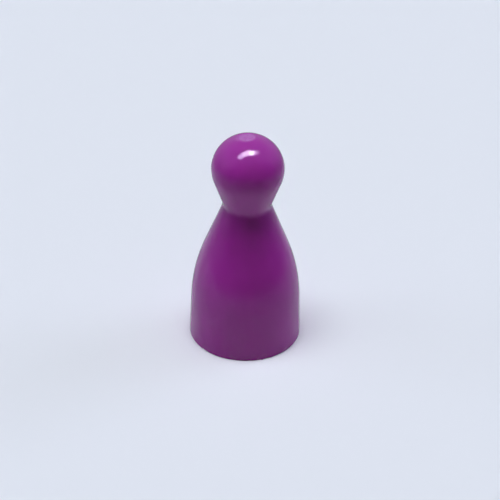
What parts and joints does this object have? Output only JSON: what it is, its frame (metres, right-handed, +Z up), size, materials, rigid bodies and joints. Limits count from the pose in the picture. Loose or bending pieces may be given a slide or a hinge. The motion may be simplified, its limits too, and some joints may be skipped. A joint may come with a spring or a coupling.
{
  "type": "halma pawn",
  "caption": "Small glossy plastic game pawn with a ball head, a pinched neck and a flared bell body, hollow inside and closed below by a press-fit plug.",
  "frame": {"origin": "centre of the foot, on the surface that the pawn stands on", "axes": "+Z up along the pawn's axis, +X to the right in the picture, +Y away from the camera"},
  "size_m": [0.012, 0.012, 0.024],
  "materials": {
    "shell_plastic": "glossy moulded purple plastic, lightly scuffed by play",
    "plug_plastic": "moulded purple plastic, dulled where it faces the table"
  },
  "bodies": {
    "plug": {"base_plug": "plug_plastic"},
    "shell": {"pawn_shell": "shell_plastic"}
  },
  "joints": [
    {"name": "shell_lift", "type": "slide", "parent": "plug", "child": "shell", "axis": [0, 0, 1], "range_m": [0, 0.0036]}
  ]
}
